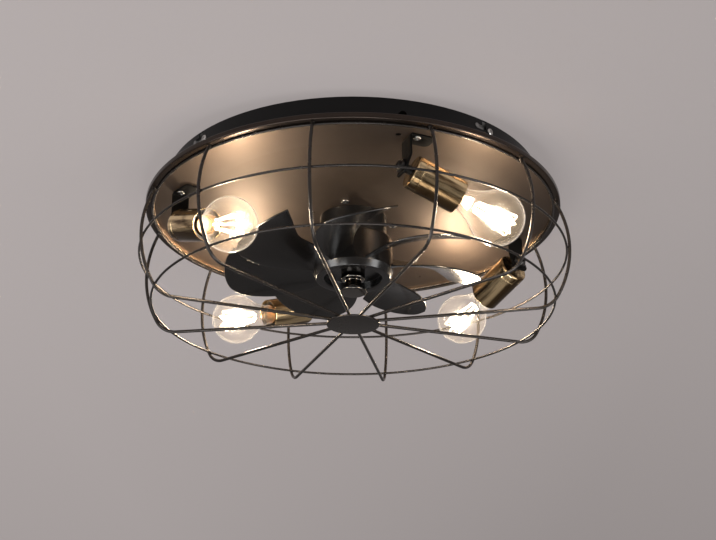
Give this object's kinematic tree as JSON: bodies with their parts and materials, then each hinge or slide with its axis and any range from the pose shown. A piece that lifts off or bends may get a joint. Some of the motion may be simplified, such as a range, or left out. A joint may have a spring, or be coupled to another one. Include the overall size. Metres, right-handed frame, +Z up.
{
  "type": "ceiling fan",
  "caption": "Flush ceiling fan and light: a bladed rotor and clear-bulb lamps inside a shallow wire cage under a round canopy drum.",
  "frame": {"origin": "centre of the face that lies against the ceiling", "axes": "+Z up, into the ceiling; -Y towards the side that is at the top of the picture; +X to its right"},
  "size_m": [0.507, 0.507, 0.1765],
  "materials": {
    "black_paint": "satin",
    "bronze_paint": "satin",
    "zinc_steel": "zinc plated",
    "bright_steel": "polished",
    "gear_plastic": "moulded",
    "lamination_steel": "laminated",
    "copper_wire": "enamelled wire",
    "rotor_steel": "drawn",
    "magnet_ferrite": "matte",
    "blade_plastic": "satin moulded",
    "dark_chrome": "polished dark",
    "antique_brass": "antiqued, brushed",
    "holder_plastic": "moulded",
    "cap_nickel": "nickel plated",
    "clear_glass": "clear",
    "filament_glass": "clear stem with glowing filaments"
  },
  "bodies": {
    "fixture": {"mounting_plate": "zinc_steel", "terminal_block": "gear_plastic", "canopy_drum": "black_paint", "canopy_screws": "bright_steel", "reflector": "bronze_paint", "rim_ring": "bronze_paint", "receiver_case": "gear_plastic", "receiver_lid": "gear_plastic", "motor_housing": "black_paint", "motor_screws": "bright_steel", "upper_bearing": "bright_steel", "lower_bearing": "bright_steel", "stator_core": "lamination_steel", "stator_coils": "copper_wire", "cage_upper_ring": "black_paint", "cage_middle_ring": "black_paint", "cage_lower_ring": "black_paint", "cage_disc": "black_paint", "lamp_bracket_screws": "bright_steel", "lamp_nuts": "bright_steel", "cage_ribs_1_7": "black_paint", "cage_ribs_2_8": "black_paint", "cage_ribs_3_9": "black_paint", "cage_ribs_4_10": "black_paint", "cage_ribs_5_11": "black_paint", "cage_ribs_6_12": "black_paint", "lamp_bracket_1": "black_paint", "lamp_cup_1": "antique_brass", "lampholder_1": "holder_plastic", "bulb_cap_1": "cap_nickel", "bulb_glass_1": "clear_glass", "bulb_stem_1": "filament_glass", "lamp_bracket_2": "black_paint", "lamp_cup_2": "antique_brass", "lampholder_2": "holder_plastic", "bulb_cap_2": "cap_nickel", "bulb_glass_2": "clear_glass", "bulb_stem_2": "filament_glass", "lamp_bracket_3": "black_paint", "lamp_cup_3": "antique_brass", "lampholder_3": "holder_plastic", "bulb_cap_3": "cap_nickel", "bulb_glass_3": "clear_glass", "bulb_stem_3": "filament_glass", "lamp_bracket_4": "black_paint", "lamp_cup_4": "antique_brass", "lampholder_4": "holder_plastic", "bulb_cap_4": "cap_nickel", "bulb_glass_4": "clear_glass", "bulb_stem_4": "filament_glass"},
    "rotor": {"shaft": "bright_steel", "shaft_clip": "bright_steel", "rotor_cup": "rotor_steel", "magnet_ring": "magnet_ferrite", "impeller": "blade_plastic", "spinner_nut": "dark_chrome"}
  },
  "joints": [
    {"name": "fan_spin", "type": "hinge", "parent": "fixture", "child": "rotor", "pos_m": [0, 0, -0.1], "axis": [0, 0, 1], "continuous": true}
  ]
}
